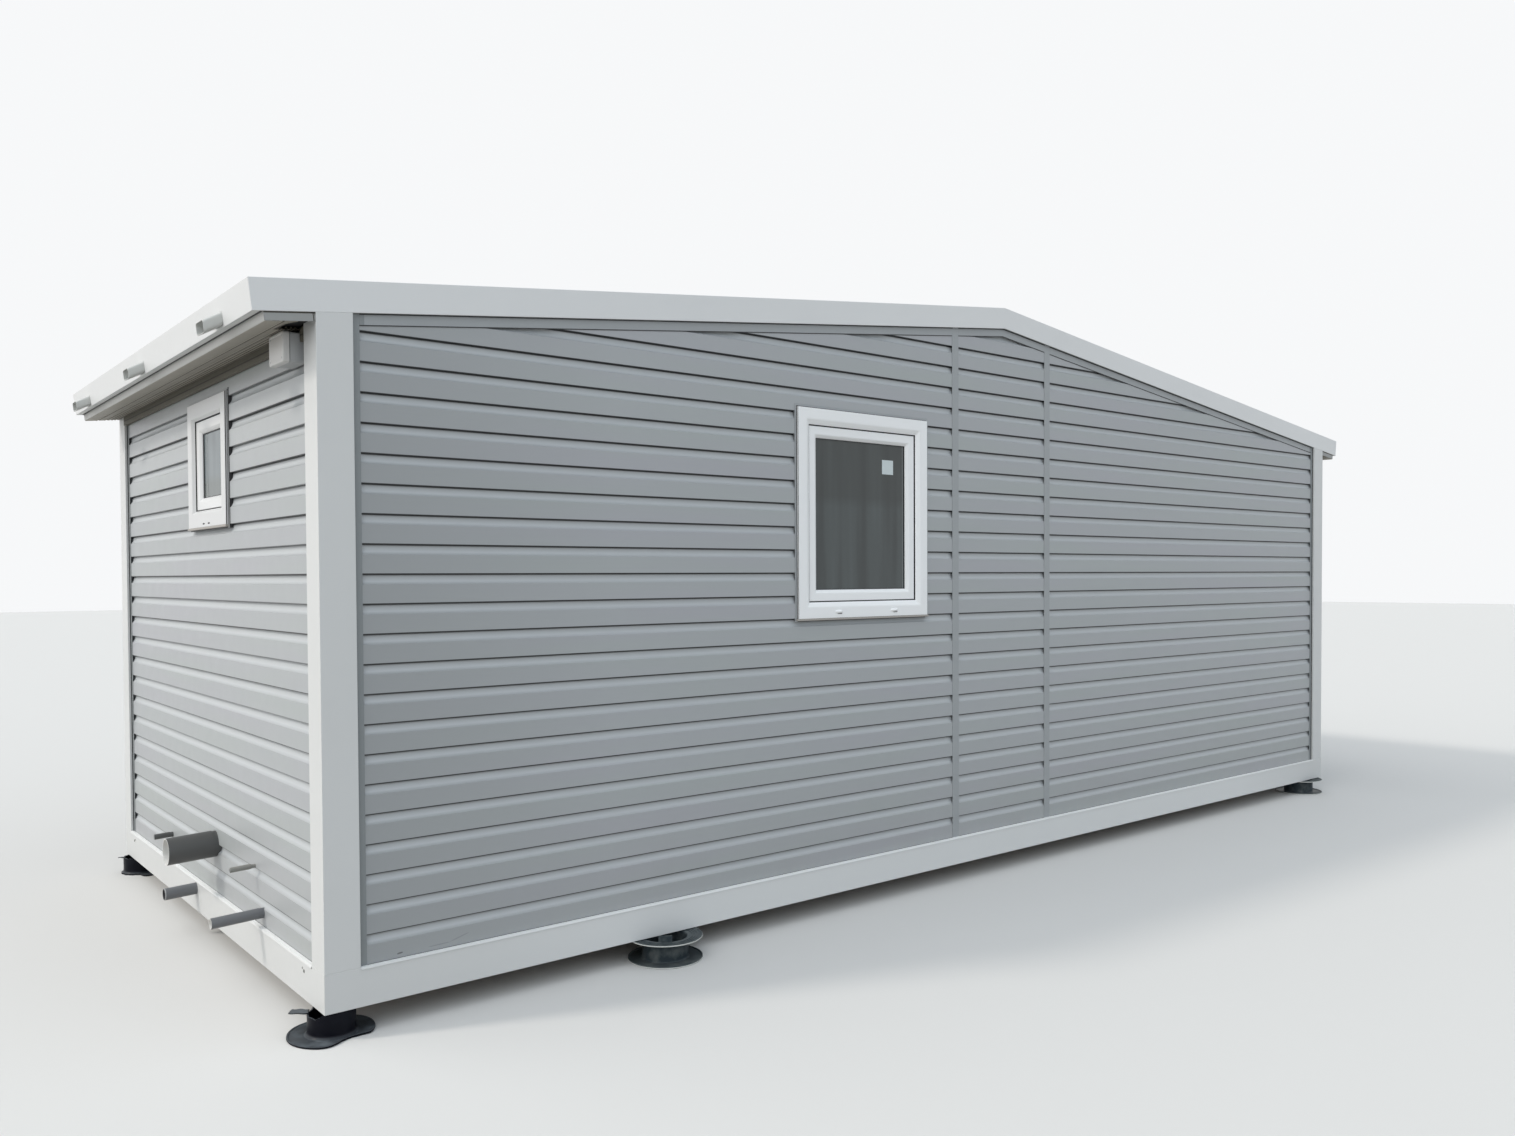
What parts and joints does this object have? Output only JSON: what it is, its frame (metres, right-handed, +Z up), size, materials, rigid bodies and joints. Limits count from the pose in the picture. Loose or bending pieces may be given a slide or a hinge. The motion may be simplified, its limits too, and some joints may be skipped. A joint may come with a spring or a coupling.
{
  "type": "mobile home",
  "caption": "Single-storey mobile home with light grey lap siding, a low gable roof with white fascias and rain spouts, white windows, service pipes and round plastic feet.",
  "frame": {"origin": "on the ground, below the middle of the house", "axes": "+X along the long front wall to the right as seen from the front, +Y towards the back, +Z up"},
  "size_m": [7.528, 3.3018, 2.9013],
  "materials": {
    "box_grey": "matte",
    "box_white": "matte",
    "floor_board": "matte",
    "foot_black": "matte",
    "pane": "gloss",
    "pipe_grey": "matte",
    "pipe_light": "matte",
    "roof_sheet": "satin",
    "siding": "matte",
    "soffit_grey": "matte",
    "spout_metal": "satin",
    "trim": "matte",
    "wall_panel": "satin",
    "white_steel": "satin",
    "window_white": "gloss"
  },
  "bodies": {
    "root": {"back_wall": "wall_panel", "back_window_frame": "window_white", "basin_pipe": "pipe_light", "corner_posts": "white_steel", "door_frame": "window_white", "door_leaf": "window_white", "end_window_frame": "window_white", "fascia_back": "white_steel", "fascia_front": "white_steel", "fascia_left": "white_steel", "fascia_right": "white_steel", "feet": "foot_black", "floor": "floor_board", "front_wall": "wall_panel", "front_window_frame": "window_white", "gutter_left": "white_steel", "gutter_right": "white_steel", "junction_box": "box_grey", "junction_box_lid": "box_white", "left_wall": "wall_panel", "rain_spouts": "spout_metal", "ridge_flashing": "roof_sheet", "right_wall": "wall_panel", "roof_left": "roof_sheet", "roof_right": "roof_sheet", "siding_back": "siding", "siding_front": "siding", "siding_left": "siding", "siding_right": "siding", "sill_back": "white_steel", "sill_front": "white_steel", "sill_left": "white_steel", "sill_right": "white_steel", "sink_pipe": "pipe_grey", "small_pipes": "pipe_light", "soffit_left": "soffit_grey", "soffit_right": "soffit_grey", "trims_back": "trim", "trims_front": "trim", "trims_left": "trim", "trims_right": "trim", "waste_pipe": "pipe_grey", "window_panes": "pane", "window_sashes": "window_white"}
  },
  "joints": []
}
